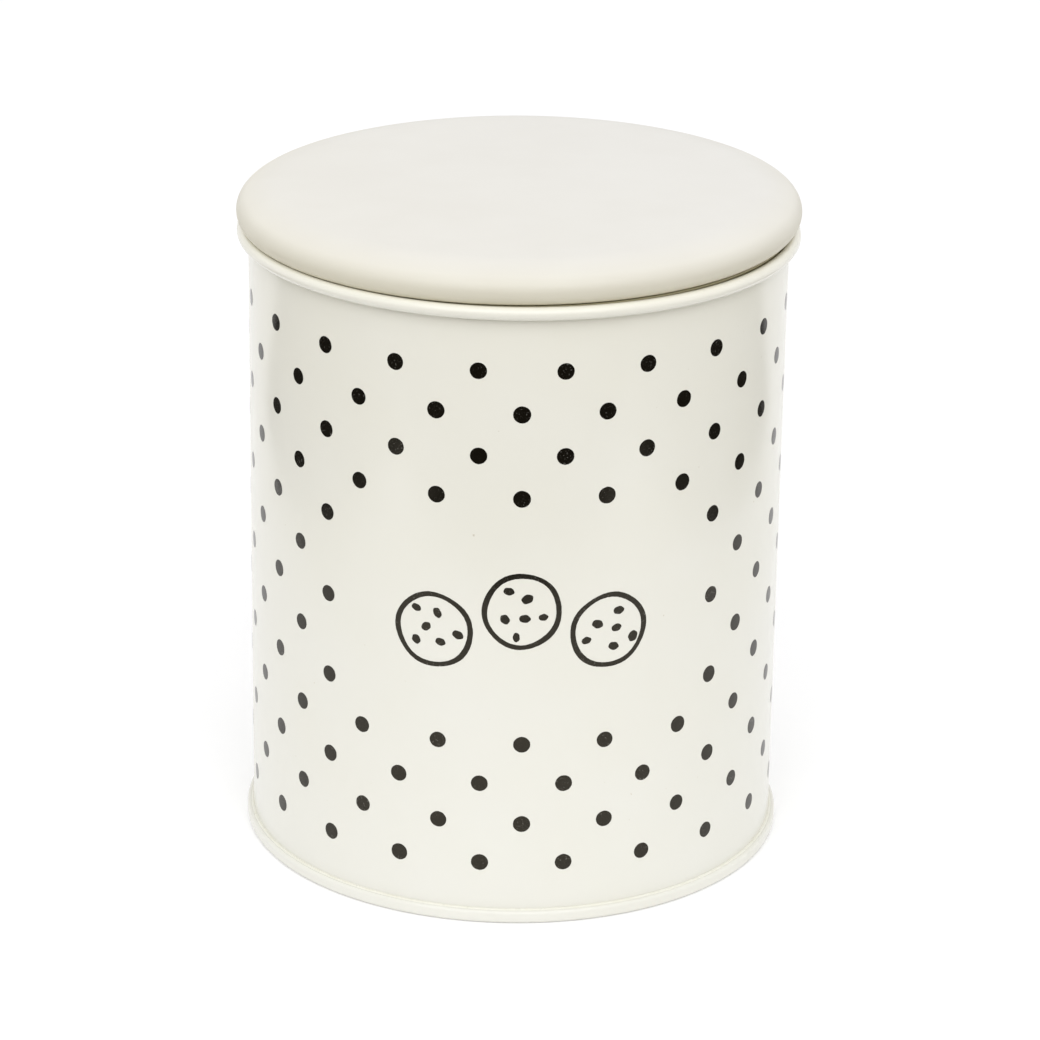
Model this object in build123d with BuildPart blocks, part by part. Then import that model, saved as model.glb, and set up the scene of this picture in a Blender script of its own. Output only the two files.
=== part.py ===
"""Round cookie tin: a lock-seamed sheet wall, a double-seamed base and a push-in lid with a soft seal.

Millimetres, +Z up. The origin is the centre of the ring that the tin stands on, and the lock seam is at +Y.
Each pressing is drawn as the middle line of its sheet, traced to the sheet's thickness and revolved.
Its bends are drawn as short flats that touch the bend's own arc, so that the solids stay light.
"""

from build123d import *
from math import asin, cos, degrees, radians, sin
import os

# ------------------------------------------------ the wall and its rolled rim
wall_radius = 67.0  # outside of the wall
rim_height = 159.5  # from the table to the top of the rolled rim
wall_sheet = 0.45
rim_roll_diameter = 3.25
rim_roll_gap = 0.20  # from the end of the roll to the wall

# ------------------------------------------------ lock seam down the back of the wall
lock_seam_width = 5.0  # between its two folds
lock_seam_play = 0.10  # between its four layers
lock_tip_gap = 0.10  # from each folded edge to the bend that it points into
lock_seam_margin = 1.0  # plain wall left below the rolled rim, above the double seam and beside the folds

# ------------------------------------------------ double seam round the base
base_sheet = 0.45
seam_height = 3.2
seam_play = 0.10  # between its five layers
hook_tip_gap = 0.25  # from each hook's tip to the bend that it points into

# ------------------------------------------------ pressed panel of the base
chuck_height = 4.6  # from the table to the top of the panel's edge, where it meets the wall
chuck_slope = 3.6  # run of the slope from that edge down to the panel
panel_height = 3.0  # from the table to the top of the panel

# ------------------------------------------------ lid shell
shell_sheet = 0.50
lid_proud = 0.06  # how far the lid stands out past the rolled rim
lid_gap = 0.55  # open line between the rolled rim and the lid
curl_radius = 3.55  # of the edge, below the lid's widest line
edge_radius = 3.86  # of the edge, above it
shoulder_radius = 40.0
shoulder_slope = 20.0  # degrees, where the shoulder meets the edge

# ------------------------------------------------ lid plug
plug_sheet = 0.45
plug_depth = 9.35  # below the lid's hem
seal_space = 2.0  # from the plug's wall to the tin's wall
hem_play = 0.10  # from the lid's hem to the plug's flange on it
hem_edge_gap = 0.20  # from the hem's edge to the plug's wall
flare_gap = 0.95  # from the tin's wall to the plug's flared foot, which keeps the seal on
flare_height = 2.1

# ------------------------------------------------ lid seal
seal_play = 0.10  # from the seal to the plug and to the hem
seal_clearance = 0.15  # from the seal to the wall and to the rolled rim
seal_seat_depth = 0.6  # of the seal's plain collar, below the middle of the rim's roll
seal_band = 0.9  # thickness of the seal between its collar and its lip
lip_height = 1.1  # of the lip at the seal's foot, where it leaves the band

# ------------------------------------------------ how finely the bends are drawn
roll_step = 45.0  # degrees that the rim's roll turns from flat to flat
curl_step = 45.0  # the lid's curl
edge_step = 35.0  # its edge
shoulder_step = 20.0  # its shoulder


def around(centre, radius, angle):
    """The point at this radius and angle (degrees) about a centre."""
    return (centre[0] + radius * cos(radians(angle)), centre[1] + radius * sin(radians(angle)))


def flats(centre, radius, start, turn, step):
    """The corners of the flats that touch an arc, which turn by about this step (degrees) at each corner."""
    corners = max(1, round(abs(turn) / step))
    corner_turn = turn / corners
    reach = radius / cos(radians(corner_turn / 2))
    return [around(centre, reach, start + (corner + 0.5) * corner_turn) for corner in range(corners)]


# ------------------------------------------------ worked out: wall and rim
centre = (0, 0)  # of the tin, in plan
wall_mid = wall_radius - wall_sheet / 2
mouth_radius = wall_radius - wall_sheet
rim_radius = mouth_radius + rim_roll_diameter
roll = (mouth_radius + rim_roll_diameter / 2, rim_height - rim_roll_diameter / 2)
roll_mid = (rim_roll_diameter - wall_sheet) / 2

# ------------------------------------------------ worked out: lock seam
lock_pitch = wall_sheet + lock_seam_play
lock_layers = [wall_mid + layer * lock_pitch for layer in range(4)]
lock_low = seam_height + lock_seam_margin
lock_high = rim_height - rim_roll_diameter - lock_seam_margin
half_seam = degrees(lock_seam_width / 2 / wall_mid)
fold_a = 90 + half_seam
fold_b = 90 - half_seam
tip_angle = degrees(lock_tip_gap / wall_mid)
step_turn = degrees(2 * asin(1.5 * lock_pitch / lock_layers[1]))
margin_angle = degrees(lock_seam_margin / wall_mid)
step_a = fold_a + step_turn
wall_a = step_a + margin_angle
wall_b = fold_b - step_turn - margin_angle

# ------------------------------------------------ worked out: double seam and base
seam_pitch = (wall_sheet + base_sheet) / 2 + seam_play
seam_layers = [wall_mid + layer * seam_pitch for layer in range(-1, 4)]
foot_mid = base_sheet / 2
body_hook_mid = base_sheet + seam_play + wall_sheet / 2
cover_hook_mid = seam_height - base_sheet / 2
body_hook_tip = cover_hook_mid - base_sheet / 2 - hook_tip_gap
cover_hook_tip = body_hook_mid + wall_sheet / 2 + hook_tip_gap
chuck_mid = chuck_height - base_sheet / 2
panel_mid = panel_height - base_sheet / 2

# ------------------------------------------------ worked out: lid
lid_radius = rim_radius + lid_proud
hem_z = rim_height + lid_gap
widest_z = hem_z + curl_radius
shell_half = shell_sheet / 2
curl = (lid_radius - curl_radius, widest_z)
edge = (lid_radius - edge_radius, widest_z)
edge_turn = 90 - shoulder_slope
shoulder = around(edge, edge_radius - shoulder_radius, edge_turn)
crown_mid = shoulder[1] + shoulder_radius - shell_half
plug_radius = mouth_radius - seal_space
plug_mid = plug_radius - plug_sheet / 2
flange_mid = hem_z + shell_sheet + hem_play + plug_sheet / 2
flare_mid = mouth_radius - flare_gap - plug_sheet / 2
plug_floor = hem_z - plug_depth + plug_sheet / 2
neck_z = plug_floor + flare_height

# ------------------------------------------------ worked out: seal
seal_r = plug_radius + seal_play
band_r = seal_r + seal_band
lip_r = mouth_radius - seal_clearance
seal_low = neck_z + plug_sheet / 2 + seal_play
seal_high = hem_z - seal_play
seat_radius = rim_roll_diameter / 2 + seal_clearance
collar_low = roll[1] - seal_seat_depth

os.makedirs("parts", exist_ok=True)

# ------------------------------------------------ body wall: hook, wall, rolled rim and lock seam
with BuildPart() as body_wall:
    # The wall, with a hook turned out and up at its foot, and its rim rolled out and down to the wall again.
    with BuildSketch(Plane.XZ):
        with BuildLine():
            Polyline(
                (seam_layers[3], body_hook_tip),
                (seam_layers[3], body_hook_mid),
                (wall_mid, body_hook_mid),
                *flats(roll, roll_mid, 180, -270, roll_step),
                (wall_radius + rim_roll_gap, roll[1] - roll_mid),
            )
        trace(line_width=wall_sheet)
    revolve(axis=Axis.Z)
    # The gap that the lock seam closes, between two radial cuts.
    with BuildSketch(Plane.XY.offset(lock_low)):
        Polygon(
            around(centre, mouth_radius - wall_sheet, wall_b),
            around(centre, wall_radius + wall_sheet, wall_b),
            around(centre, wall_radius + wall_sheet, wall_a),
            around(centre, mouth_radius - wall_sheet, wall_a),
            align=None,
        )
    extrude(amount=lock_high - lock_low, mode=Mode.SUBTRACT)
    # The sheet's two edges, folded back and hooked into each other. The inside stays flush.
    with BuildSketch(Plane.XY.offset(lock_low)):
        with BuildLine():
            CenterArc(centre, lock_layers[0], wall_b, fold_a - wall_b)
            CenterArc(around(centre, lock_layers[1], fold_a), lock_pitch, fold_a + 180, -180)
            CenterArc(centre, lock_layers[2], fold_a, fold_b + tip_angle - fold_a)
        with BuildLine():
            bend_b = around(centre, lock_layers[2], fold_b)
            bend_a = around(centre, lock_layers[1], fold_a)
            CenterArc(centre, lock_layers[1], fold_a - tip_angle, fold_b - fold_a + tip_angle)
            CenterArc(bend_b, lock_pitch, fold_b + 180, 180)
            CenterArc(centre, lock_layers[3], fold_b, fold_a - fold_b)
            CenterArc(bend_a, 2 * lock_pitch, fold_a, 90 + step_turn / 2)
            bend_step = around(centre, lock_layers[1], step_a)
            CenterArc(bend_step, lock_pitch, fold_a + 270 + step_turn / 2, step_turn / 2 - 90)
            CenterArc(centre, lock_layers[0], step_a, wall_a - step_a)
        trace(line_width=wall_sheet)
    extrude(amount=lock_high - lock_low)
body_wall.part.label = "body_wall"

# ------------------------------------------------ base: cover hook, foot, chuck wall and panel
with BuildPart() as base_end:
    with BuildSketch(Plane.XZ):
        with BuildLine():
            Polyline(
                (seam_layers[2], cover_hook_tip),
                (seam_layers[2], cover_hook_mid),
                (seam_layers[4], cover_hook_mid),
                (seam_layers[4], foot_mid),
                (seam_layers[0], foot_mid),
                (seam_layers[0], chuck_mid),
                (seam_layers[0] - chuck_slope, panel_mid),
                (0, panel_mid),
            )
        trace(line_width=base_sheet)
    revolve(axis=Axis.Z)
base_end.part.label = "base_end"

# ------------------------------------------------ lid shell: crown, shoulder, edge, curl and hem
with BuildPart() as lid_shell:
    with BuildSketch(Plane.XZ):
        with BuildLine():
            Polyline(
                (0, crown_mid),
                *flats(shoulder, shoulder_radius - shell_half, 90, -shoulder_slope, shoulder_step),
                *flats(edge, edge_radius - shell_half, edge_turn, -edge_turn, edge_step),
                *flats(curl, curl_radius - shell_half, 0, -90, curl_step),
                (plug_radius + hem_edge_gap, hem_z + shell_half),
            )
        trace(line_width=shell_sheet)
    revolve(axis=Axis.Z)
lid_shell.part.label = "lid_shell"

# ------------------------------------------------ lid plug: floor, flared foot, wall and flange
with BuildPart() as lid_plug:
    with BuildSketch(Plane.XZ):
        with BuildLine():
            Polyline(
                (0, plug_floor),
                (flare_mid, plug_floor),
                (plug_mid, neck_z),
                (plug_mid, flange_mid),
                (curl[0], flange_mid),
            )
        trace(line_width=plug_sheet)
    revolve(axis=Axis.Z)
lid_plug.part.label = "lid_plug"

# ------------------------------------------------ lid seal: collar on the rim, band and lip
with BuildPart() as lid_seal:
    with BuildSketch(Plane.XZ):
        with BuildLine():
            seat = flats(roll, seat_radius, 180, -90, roll_step)
            Polyline(
                (seal_r, seal_high),
                (seat[-1][0], seal_high),
                *reversed(seat),
                (lip_r, collar_low),
                (band_r, collar_low - (lip_r - band_r)),
                (band_r, seal_low + lip_height),
                (lip_r, seal_low),
                (seal_r, seal_low),
                close=True,
            )
        make_face()
    revolve(axis=Axis.Z)
lid_seal.part.label = "lid_seal"

for piece in (body_wall, base_end, lid_shell, lid_plug, lid_seal):
    export_step(piece.part, f"parts/{piece.part.label}.step")
    print(piece.part.label, round(piece.part.volume), "mm3")
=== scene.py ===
"""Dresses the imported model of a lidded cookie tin.

The tin is enamelled sheet steel with a rolled rim, a double-seamed base and a lock seam down the back.
It has a push-in lid with a soft seal, and a screen print of dots and biscuits.
"""
import math
import random

import bmesh
import bpy
from bpy.props import FloatProperty, FloatVectorProperty, IntProperty, PointerProperty
from mathutils import Matrix, Vector


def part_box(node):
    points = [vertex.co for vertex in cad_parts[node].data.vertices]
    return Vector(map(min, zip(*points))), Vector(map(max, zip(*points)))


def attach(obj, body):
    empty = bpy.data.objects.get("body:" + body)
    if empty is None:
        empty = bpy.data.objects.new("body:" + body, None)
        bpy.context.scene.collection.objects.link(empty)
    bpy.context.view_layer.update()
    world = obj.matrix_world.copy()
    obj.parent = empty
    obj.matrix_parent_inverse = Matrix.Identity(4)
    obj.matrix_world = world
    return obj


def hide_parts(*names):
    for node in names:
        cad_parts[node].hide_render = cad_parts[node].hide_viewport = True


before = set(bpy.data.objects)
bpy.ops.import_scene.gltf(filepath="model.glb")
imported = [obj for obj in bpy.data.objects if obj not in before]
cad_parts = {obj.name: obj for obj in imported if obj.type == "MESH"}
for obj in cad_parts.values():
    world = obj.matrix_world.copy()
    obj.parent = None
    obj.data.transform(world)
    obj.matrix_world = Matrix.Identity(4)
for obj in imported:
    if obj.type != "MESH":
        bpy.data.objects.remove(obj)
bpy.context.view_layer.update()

bl_info = {
    "name": "Cookie tin dresser",
    "version": (1, 0, 0),
    "blender": (4, 5, 0),
    "location": "3D View > Sidebar > Cookie tin",
    "description": "Builds the finished shapes, coats and print of a cookie tin round its packed CAD model",
    "category": "Object",
}

MM = 0.001
WALL_LOW, WALL_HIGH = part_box("body_wall")
SHELL_LOW, SHELL_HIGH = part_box("lid_shell")
PLUG_LOW, PLUG_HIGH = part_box("lid_plug")
SEAL_LOW, SEAL_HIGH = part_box("lid_seal")

BEND_STEP = math.radians(10)  # most that a bend turns between two points
BEND_RUN = 1.2 * MM  # most that it runs between them
BRACE = 0.4 * MM  # from a bend to the ring that keeps the flat beside it flat
WELD = MM / 1000  # points nearer to each other than this are one
CREASE = math.radians(35)  # edges sharper than this stay sharp where the rest is shaded smooth
HUB = 0.05  # radius of the circle that turned pieces are swept along


# ---------------------------------------------------------------- sizes and colours
def linear(sRGB_hex):
    """An sRGB hex colour as linear red, green and blue, with a full alpha."""
    channels = [int(sRGB_hex[place : place + 2], 16) / 255 for place in (0, 2, 4)]
    light = [share / 12.92 if share <= 0.04045 else ((share + 0.055) / 1.055) ** 2.4 for share in channels]
    return [*light, 1.0]


WHITE = linear("ffffff")


def length(name, description, default):
    """A length property, in metres."""
    return FloatProperty(
        name=name, description=description, default=default, precision=5, subtype="DISTANCE", unit="LENGTH"
    )


def angle(name, description, degrees):
    """An angle property."""
    return FloatProperty(
        name=name, description=description, default=math.radians(degrees), subtype="ANGLE", unit="ROTATION"
    )


def colour(name, description, sRGB_hex):
    """A colour property."""
    return FloatVectorProperty(
        name=name, description=description, default=linear(sRGB_hex), size=4, min=0, max=1, subtype="COLOR"
    )


def number(name, description, default, unit="NONE"):
    """A property that is a plain number."""
    return FloatProperty(name=name, description=description, default=default, unit=unit)


def count(name, description, default, least=1):
    """A property that is a whole number."""
    return IntProperty(name=name, description=description, default=default, min=least)


class TinSizes(bpy.types.PropertyGroup):
    """Sizes of the tin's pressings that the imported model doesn't give by its boxes."""

    sheet: length("Sheet", "Thickness of the wall, base and plug", 0.45 * MM)
    rim_roll: length("Rim roll", "Diameter of the rolled rim", 3.25 * MM)
    rim_roll_turn: angle("Rim roll turn", "How far the rim is rolled, from straight up", 307)
    seam_height: length("Seam height", "Height of the double seam round the base", 3.2 * MM)
    seam_play: length("Seam play", "Gap between the layers of a seam", 0.1 * MM)
    hook_gap: length("Hook gap", "From a hook's tip to the bend that it points into", 0.25 * MM)
    foot_bend: length("Foot bend", "Radius of the two bends that the tin stands on", 0.75 * MM)
    chuck_height: length("Chuck height", "From the table to the top of the base panel's edge", 4.6 * MM)
    chuck_slope: length("Chuck slope", "Run of the slope from that edge to the panel", 3.6 * MM)
    panel_height: length("Panel height", "From the table to the top of the base panel", 3.0 * MM)
    lock_width: length("Lock seam width", "Between the two folds of the lock seam", 5.0 * MM)
    lock_margin: length("Lock seam margin", "Plain wall above and below the lock seam", 1.0 * MM)
    shell_sheet: length("Shell sheet", "Thickness of the lid's shell", 0.5 * MM)
    curl_radius: length("Curl radius", "Of the lid's edge, below its widest line", 3.55 * MM)
    edge_radius: length("Edge radius", "Of the lid's edge, above its widest line", 3.86 * MM)
    shoulder_radius: length("Shoulder radius", "Of the lid's shoulder", 40 * MM)
    shoulder_slope: angle("Shoulder slope", "Where the shoulder meets the lid's edge", 20)
    crown_radius: length("Crown radius", "Of the bend from the shoulder to the flat top", 20 * MM)
    crown_slope: angle("Crown slope", "Where the shoulder meets that bend", 13)
    hem_gap: length("Hem gap", "From the edge of the lid's hem to the plug's wall", 0.2 * MM)
    seal_space: length("Seal space", "From the plug's wall to the tin's wall", 2.0 * MM)
    flare_gap: length("Flare gap", "From the tin's wall to the plug's flared foot", 0.95 * MM)
    flare_height: length("Flare height", "Rise of the plug's flared foot", 2.1 * MM)
    seal_play: length("Seal play", "Clearance of the seal inside the wall", 0.15 * MM)
    seal_band: length("Seal band", "Thickness of the seal between its collar and its lip", 0.9 * MM)
    seat_depth: length("Seat depth", "Of the seal's collar, below the middle of the rim's roll", 0.6 * MM)
    lip_height: length("Lip height", "Of the seal's lip, where it leaves the band", 1.1 * MM)
    lid_lean: angle("Lid lean", "How far the lid sits askew in the mouth", 0.6)
    lid_lean_way: angle("Lid lean direction", "Where it sits lowest, from the left towards the front", 34)
    lid_sink: length("Lid sink", "How far the seal lets the lid sink", 0.12 * MM)
    pool: length("Pool", "Thickness of the lacquer pooled above the double seam", 1.1 * MM)
    pool_patch: length("Pool patch", "Size of its thick and thin patches", 2.4 * MM)
    pool_unevenness: number("Pool unevenness", "Share by which it swells and thins", 0.5)
    segments: count("Segments", "Facets round a turned piece", 256, 32)


class PrintSizes(bpy.types.PropertyGroup):
    """The screen print: dots in staggered columns round the wall, and a clear window for three biscuits."""

    dot: length("Dot", "Diameter of a dot", 4.2 * MM)
    film: length("Ink film", "How far the ink stands out from the wall", 0.025 * MM)
    columns: count("Columns", "Columns of dots, each half a row off the next", 39)
    rows: count("Half rows", "Half rows of dots, an odd number", 13)
    column_step: length("Column step", "Along the wall, between two columns", 10.31 * MM)
    row_step: length("Half row step", "Between two half rows", 10.61 * MM)
    middle_height: length("Middle height", "From the table to the middle of the print", 79.45 * MM)
    middle_turn: length("Middle offset", "Along the wall, from the front to the print's middle", 2.0 * MM)
    lean: number("Lean", "Sideways drift of the print for each step up", -0.012)
    clear_columns: count("Clear columns", "Columns that the clear window crosses", 9)
    clear_rows: count("Clear half rows", "Half rows that the window crosses", 5)
    unevenness: number("Unevenness", "Share by which dots differ in size", 0.03)
    dot_seed: count("Dot seed", "Draw of the dots' sizes", 4)
    ragged: length("Ragged edge", "How far the ink strays over its edge", 0.09 * MM)
    grain: length("Edge grain", "Size of the ragged edge's bites", 0.8 * MM)
    biscuit: length("Biscuit", "Diameter of a biscuit", 19.5 * MM)
    biscuit_step: length("Biscuit step", "Along the wall, between two biscuits", 21.5 * MM)
    biscuit_rise: length("Biscuit rise", "How much higher the middle biscuit is drawn", 6.0 * MM)
    line: length("Line", "Width of a drawn line", 1.3 * MM)
    chips: count("Chips", "Chips in each biscuit", 6)
    biscuit_seed: count("Biscuit seed", "Draw of the biscuits' outlines and chips", 11)


class TinFinish(bpy.types.PropertyGroup):
    """Colours of the coats, the ink, the seal, the light table and the flags."""

    enamel: colour("Enamel", "Stoved enamel on the wall, at its rim", "f0eee3")
    # Painted shade: the enamel taken darker low on the wall and on the base, to tone down the light the
    # table throws up there.
    enamel_foot_painted_shade: colour("Enamel at the foot", "The same enamel low on the wall and on the base", "e1e0d8")
    powder: colour("Powder coat", "Matt coat on the lid", "dbd9d4")
    # Painted warm shade: the lid's side and edge taken warmer and yellower, for the warm light that falls
    # on them.
    powder_edge: colour("Powder coat edge", "The same coat, thicker round the lid's edge", "ddd7c0")
    pool: colour("Pool", "Lacquer pooled above the double seam", "e6e5da")
    ink: colour("Ink", "Screen ink of the print", "0a0805")
    # Painted reflection: a warm tint on what the ink mirrors, standing in for warm light round the tin.
    ink_painted_reflection_tint: colour("Ink shine", "Tint of what the ink mirrors", "fff4dc")
    # Partly the seal's own tone and partly painted shade: an olive grey dark enough that the gap under the
    # lid reads dark.
    silicone: colour("Silicone", "Seal of the lid", "b1a989")
    table: colour("Table", "Opal top of the light table", "f5f5f6")
    felt: colour("Felt", "Black felt of the flags", "454038")


class StageSizes(bpy.types.PropertyGroup):
    """Where the camera stands, and how the light tent round the tin is set."""

    camera_back: length("Camera distance", "From the tin's axis, along the table", 977.9 * MM)
    camera_height: length("Camera height", "Above the table", 459.9 * MM)
    camera_dip: angle("Camera dip", "How far the camera looks down", 21.23)
    camera_turn: angle("Camera turn", "How far the camera looks to the right of the axis", 0.075)
    camera_roll: angle("Camera roll", "How far the camera leans", 0.825)
    camera_lens: number("Lens", "Focal length", 142.66, "CAMERA")
    tent: number("Tent", "Strength of the white light tent", 0.91)
    key_watts: number("Key", "Power of the soft box above the camera", 18.5)
    key_width: length("Key width", "Of the soft box", 2.4)
    key_depth: length("Key depth", "Of the soft box", 1.4)
    key_back: length("Key distance", "From the tin's axis to the soft box, along the table", 1.3)
    key_height: length("Key height", "Of the soft box above the table", 1.4)
    key_aim: length("Key aim", "Height on the tin's axis that the soft box points at", 0.1)
    table_reach: length("Table reach", "From the tin's axis to the light table's edges", 4.0)
    table_sink: length("Table sink", "From the tin's foot down to the light table", 0.02 * MM)
    table_glow: number("Table glow", "Strength of the light table", 0.08)
    card_rise: length("Card rise", "From the table to the lit cards", 1.0 * MM)
    card_glow: number("Card glow", "Strength of the lit cards under the flags", 1.1)
    flag_rise: length("Flag rise", "From the table to the dark flags", 2.0 * MM)
    flag_front: length("Front flag", "From the tin's axis to the dark flag in front of it", 0.275)
    flag_side: length("Side flags", "From the tin's axis to the dark flags beside it", 0.285)
    flag_left_back: length("Left flag back", "How far the flag on the left reaches behind the tin", 0.22)
    flag_right_back: length("Right flag back", "How far the one on the right reaches behind it", 0.235)
    flag_reach: length("Flag reach", "From the tin's axis to the far edges of the flags", 1.2)
    flag_stand: length("Flag stand", "Height of the front flag where it stands up at its far edge", 0.3)


# ---------------------------------------------------------------- small tools
def new_object(name, mesh):
    """Adds an object with this mesh to the scene."""
    made = bpy.data.objects.new(name, mesh)
    bpy.context.scene.collection.objects.link(made)
    return made


def add_node(tree, kind, inputs=None, **settings):
    """Adds a node with its settings. Each input gets a value, a socket or another node's first output."""
    node = tree.nodes.new(kind)
    for name, value in settings.items():
        setattr(node, name, value)
    for name, value in (inputs or {}).items():
        if isinstance(value, bpy.types.Node):
            value = value.outputs[0]
        if isinstance(value, bpy.types.NodeSocket):
            tree.links.new(value, node.inputs[name])
        else:
            node.inputs[name].default_value = value
    return node


def new_tree(name, inputs):
    """A Geometry Nodes tree that takes and gives a shape, with these further inputs {name: socket kind}."""
    tree = bpy.data.node_groups.new(name, "GeometryNodeTree")
    tree.interface.new_socket("Shape", in_out="INPUT", socket_type="NodeSocketGeometry")
    for label, kind in inputs.items():
        tree.interface.new_socket(label, in_out="INPUT", socket_type="NodeSocket" + kind)
    tree.interface.new_socket("Shape", in_out="OUTPUT", socket_type="NodeSocketGeometry")
    return tree, add_node(tree, "NodeGroupInput").outputs


def end_tree(tree, shape, finish):
    """Ends a tree: real mesh, one material."""
    real = add_node(tree, "GeometryNodeRealizeInstances", {"Geometry": shape})
    coated = add_node(tree, "GeometryNodeSetMaterial", {"Geometry": real, "Material": finish})
    add_node(tree, "NodeGroupOutput", {"Shape": coated})
    return tree


def labelled(group):
    """A group's values by their labels, which also name the trees' inputs."""
    return {item.name: getattr(group, item.identifier) for item in group.bl_rna.properties}


def grown(source, tree, values, name):
    """Runs a tree on the source mesh and returns its result as a plain object."""
    modifier = source.modifiers.new(tree.name, "NODES")
    modifier.node_group = tree
    for item in tree.interface.items_tree:
        if item.in_out == "INPUT" and item.name in values:
            modifier[item.identifier] = values[item.name]
    evaluated = source.evaluated_get(bpy.context.evaluated_depsgraph_get())
    mesh = bpy.data.meshes.new_from_object(evaluated)
    bpy.data.objects.remove(source)
    if not mesh.polygons:
        raise RuntimeError(f"{name} came out empty")
    mesh.name = name
    return new_object(name, mesh)


def smoothed(made):
    """Turns faces outwards and shades them smooth, except across sharp edges."""
    mesh = made.data
    shape = bmesh.new()
    shape.from_mesh(mesh)
    bare = [edge for edge in shape.edges if not edge.link_faces]
    bmesh.ops.delete(shape, geom=bare, context="EDGES")
    bmesh.ops.recalc_face_normals(shape, faces=shape.faces)
    shape.to_mesh(mesh)
    shape.free()
    mesh.shade_smooth()
    mesh.set_sharp_from_angle(angle=CREASE)
    return made


def drawn_out(shape, name, way):
    """The flat faces of a bmesh, drawn out this way into solids. The bmesh is used up."""
    raised = bmesh.ops.extrude_face_region(shape, geom=shape.faces[:], use_keep_orig=True)
    moved = [item for item in raised["geom"] if isinstance(item, bmesh.types.BMVert)]
    bmesh.ops.translate(shape, verts=moved, vec=way)
    mesh = bpy.data.meshes.new(name)
    shape.to_mesh(mesh)
    shape.free()
    return new_object(name, mesh)


def closed_line(name, points):
    """A ring of edges through these points."""
    mesh = bpy.data.meshes.new(name)
    ends = [*range(1, len(points)), 0]
    mesh.from_pydata(points, list(enumerate(ends)), [])
    return new_object(name, mesh)


# ---------------------------------------------------------------- outlines of sheet and rubber
def around(centre, radius, turn):
    """The point at this radius and turn (radians) about a centre."""
    return Vector((centre[0] + radius * math.cos(turn), centre[1] + radius * math.sin(turn)))


def arc(centre, radius, start, turn):
    """Points along an arc, from this angle and through this turn (radians)."""
    steps = math.ceil(max(abs(turn) / BEND_STEP, abs(turn) * radius / BEND_RUN))
    return [around(centre, radius, start + turn * step / steps) for step in range(steps + 1)]


def rounded(corners):
    """A line through corners (across, up, radius), each turned in an arc of its radius."""
    line = []
    for place, (across, up, radius) in enumerate(corners):
        corner = Vector((across, up))
        if not radius:
            line.append(corner)
            continue
        back = (Vector(corners[place - 1][:2]) - corner).normalized()
        on = (Vector(corners[(place + 1) % len(corners)][:2]) - corner).normalized()
        half = back.angle(on) / 2
        centre = corner + (back + on).normalized() * radius / math.sin(half)
        first = corner + back * radius / math.tan(half) - centre
        turn = math.copysign(math.pi - 2 * half, on.x * back.y - on.y * back.x)
        line += arc(centre, radius, math.atan2(first.y, first.x), turn)
    return line


def braced(line):
    """The line with a point just inside each end of its long runs, so that shading keeps them flat."""
    full = line[:1]
    for start, end in zip(line, line[1:]):
        run = end - start
        if run.length > 4 * BRACE:
            step = run.normalized() * BRACE
            full += [start + step, end - step]
        if run.length > WELD:
            full.append(end)
    return full


def sheet_outline(line, thickness):
    """The outline of sheet that follows a line with half its thickness on each side."""
    left, right = [], []
    for place, point in enumerate(line):
        along = line[min(place + 1, len(line) - 1)] - line[max(place - 1, 0)]
        out = Vector((-along.y, along.x)).normalized() * thickness / 2
        left.append(point + out)
        right.append(point - out)
    return left + right[::-1]


def turned_tree():
    """Sweeps an outline round the tin's axis. The outline lies in X and Y: out from the hub, and down."""
    tree, given = new_tree("Turned", {"Segments": "Int", "Hub": "Float", "Finish": "Material"})
    outline = add_node(tree, "GeometryNodeMeshToCurve", {"Mesh": given["Shape"]})
    circle = {"Resolution": given["Segments"], "Radius": given["Hub"]}
    ring = add_node(tree, "GeometryNodeCurvePrimitiveCircle", circle)
    level = add_node(tree, "GeometryNodeSetCurveNormal", {"Curve": ring}, mode="Z_UP")
    swept = add_node(tree, "GeometryNodeCurveToMesh", {"Curve": level, "Profile Curve": outline})
    welded = add_node(tree, "GeometryNodeMergeByDistance", {"Geometry": swept, "Distance": WELD})
    return end_tree(tree, welded, given["Finish"])


def turned(name, outline, finish):
    """A piece turned from its closed outline (across, up)."""
    source = closed_line(name, [(point.x - HUB, -point.y, 0) for point in outline])
    values = labelled(bpy.context.scene.tin_sizes) | {"Hub": HUB, "Finish": finish}
    return smoothed(grown(source, turned_tree(), values, name))


def dress(made, body, slot, *nodes):
    """The piece rides on a body and stands for these nodes. The slot that it is given is not used."""
    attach(made, body)
    if nodes:
        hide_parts(*nodes)


# ---------------------------------------------------------------- finishes
USUAL = (0.3, 0.7)  # band of a noise that most of it falls in


def new_finish(name):
    """An empty material, its tree, the object's own coordinates and the tin's colours."""
    finish = bpy.data.materials.new(name)
    finish.use_nodes = True
    tree = finish.node_tree
    tree.nodes.clear()
    place = add_node(tree, "ShaderNodeTexCoord").outputs["Object"]
    return finish, tree, place, bpy.context.scene.tin_finish


def end_finish(finish, inputs):
    """Ends a material with its shader, which takes these inputs."""
    shader = add_node(finish.node_tree, "ShaderNodeBsdfPrincipled", inputs)
    add_node(finish.node_tree, "ShaderNodeOutputMaterial", {"Surface": shader})
    return finish


def patches(tree, place, size, least=0.0, most=1.0, band=USUAL):
    """Soft patches of about this size. Across this band of their noise, they go from least to most."""
    noise = add_node(tree, "ShaderNodeTexNoise", {"Vector": place, "Scale": 1 / size, "Detail": 2.0})
    ends = {"Value": noise, "From Min": band[0], "From Max": band[1], "To Min": least, "To Max": most}
    return add_node(tree, "ShaderNodeMapRange", ends)


def rippled(tree, place, size, depth, under=None):
    """The surface rippled to this size and depth, on top of other ripples."""
    noise = add_node(tree, "ShaderNodeTexNoise", {"Vector": place, "Scale": 1 / size, "Detail": 2.0})
    inputs = {"Height": noise, "Distance": depth}
    if under:
        inputs["Normal"] = under
    return add_node(tree, "ShaderNodeBump", inputs)


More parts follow.
